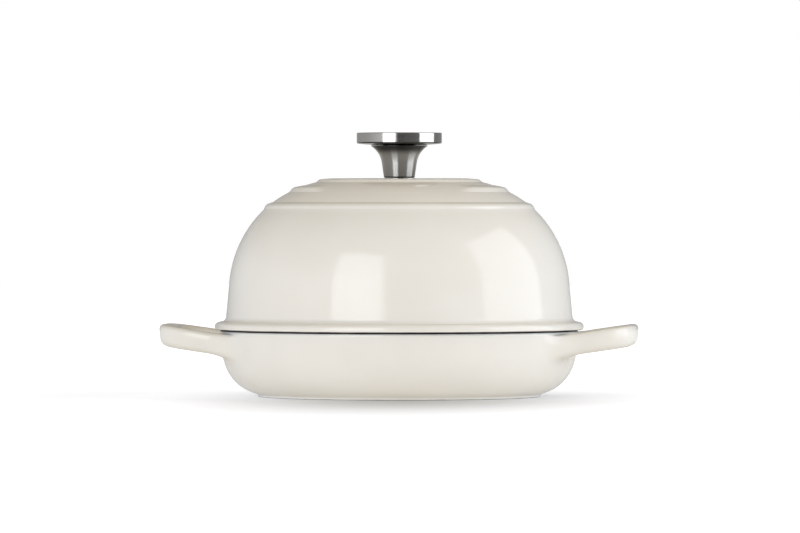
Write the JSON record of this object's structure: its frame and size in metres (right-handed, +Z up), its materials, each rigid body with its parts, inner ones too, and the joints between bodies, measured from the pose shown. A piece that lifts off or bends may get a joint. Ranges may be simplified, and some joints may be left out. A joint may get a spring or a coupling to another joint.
{
  "type": "cast iron bread oven",
  "caption": "Round enamelled cast iron bread oven: a shallow pan with loop handles, a tall domed lid that lifts off, and a steel knob screwed through the lid.",
  "frame": {"origin": "on the table under the middle of the pan's foot ring", "axes": "+X along the two loop handles, +Z up, -Y to the front, where the lid's middle step is left plain"},
  "size_m": [0.3212, 0.248, 0.1773],
  "materials": {
    "cream_enamel": "gloss cream enamel outside, black satin enamel inside",
    "brushed_steel": "stainless steel, polished cap edge and brushed stem",
    "screw_steel": "plain stainless screw steel"
  },
  "bodies": {
    "base": {"base_pan": "cream_enamel"},
    "lid": {"dome_lid": "cream_enamel", "knob_stem": "brushed_steel", "knob_cap": "brushed_steel", "knob_insert": "screw_steel", "knob_screw": "screw_steel", "screw_washer": "screw_steel"}
  },
  "joints": [
    {"name": "lid_lift", "type": "slide", "parent": "base", "child": "lid", "axis": [0, 0, 1], "range_m": [0, 0.2]}
  ]
}
